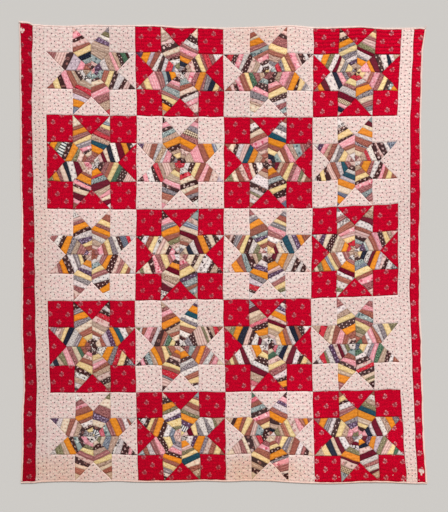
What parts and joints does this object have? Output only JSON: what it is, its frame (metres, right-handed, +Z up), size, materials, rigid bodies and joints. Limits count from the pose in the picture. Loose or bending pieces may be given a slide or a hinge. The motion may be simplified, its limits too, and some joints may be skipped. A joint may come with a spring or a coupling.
{
  "type": "spiderweb quilt",
  "caption": "Bed quilt of string-pieced spiderweb star blocks in alternating red and pink grounds, with red and pink side strips and a narrow binding, lying flat",
  "frame": {"origin": "middle of the quilt, on the surface it lies on", "axes": "+Z up out of the pieced face, +Y towards the quilt's top edge, +X to its right side, seen face up"},
  "size_m": [1.96, 2.221, 0.0048],
  "materials": {
    "pink_block": "string-pieced cotton prints around corner squares and triangles of a pale pink dotted print, matt and a little worn",
    "red_block": "string-pieced cotton prints around corner squares and triangles of a red print with small grey-green sprigs, matt",
    "red_strip": "red cotton print with small sprigs, matt, worn through to white in spots",
    "pink_strip": "pale pink cotton print with small dots, matt",
    "binding_cloth": "plain pale pinkish cotton, matt, soft with wear",
    "backing_cloth": "plain unbleached cotton, matt"
  },
  "bodies": {
    "root": {"backing": "backing_cloth", "block_r1_c1": "pink_block", "block_r1_c2": "red_block", "block_r1_c3": "pink_block", "block_r1_c4": "red_block", "block_r2_c1": "red_block", "block_r2_c2": "pink_block", "block_r2_c3": "red_block", "block_r2_c4": "pink_block", "block_r3_c1": "pink_block", "block_r3_c2": "red_block", "block_r3_c3": "pink_block", "block_r3_c4": "red_block", "block_r4_c1": "red_block", "block_r4_c2": "pink_block", "block_r4_c3": "red_block", "block_r4_c4": "pink_block", "block_r5_c1": "pink_block", "block_r5_c2": "red_block", "block_r5_c3": "pink_block", "block_r5_c4": "red_block", "strip_left_red": "red_strip", "strip_left_pink": "pink_strip", "strip_right_pink": "pink_strip", "strip_right_red": "red_strip", "binding_top": "binding_cloth", "binding_right": "binding_cloth", "binding_bottom": "binding_cloth", "binding_left": "binding_cloth"}
  },
  "joints": []
}
